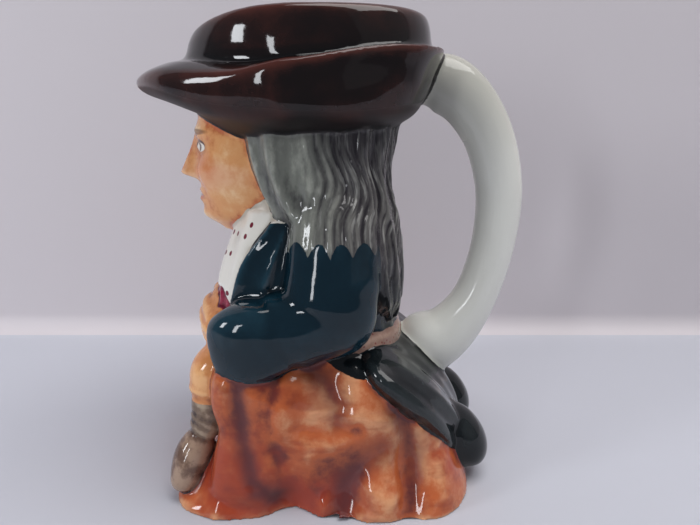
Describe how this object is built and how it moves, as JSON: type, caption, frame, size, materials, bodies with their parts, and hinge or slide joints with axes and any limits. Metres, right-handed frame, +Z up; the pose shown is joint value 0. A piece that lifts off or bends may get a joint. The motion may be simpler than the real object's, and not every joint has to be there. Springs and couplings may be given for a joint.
{
  "type": "toby jug",
  "caption": "Hollow glazed earthenware jug in the form of a seated man in a cocked hat, open at the crown, with a loop handle.",
  "frame": {"origin": "on the foot's underside, below the middle of the mouth", "axes": "+Z up; the man faces -Y, his left hand is at +X, and the handle is at +Y"},
  "size_m": [0.0874, 0.1263, 0.151],
  "materials": {
    "glaze": "hand-painted under a thick glossy glaze"
  },
  "bodies": {
    "root": {"toby_jug": "glaze"}
  },
  "joints": []
}
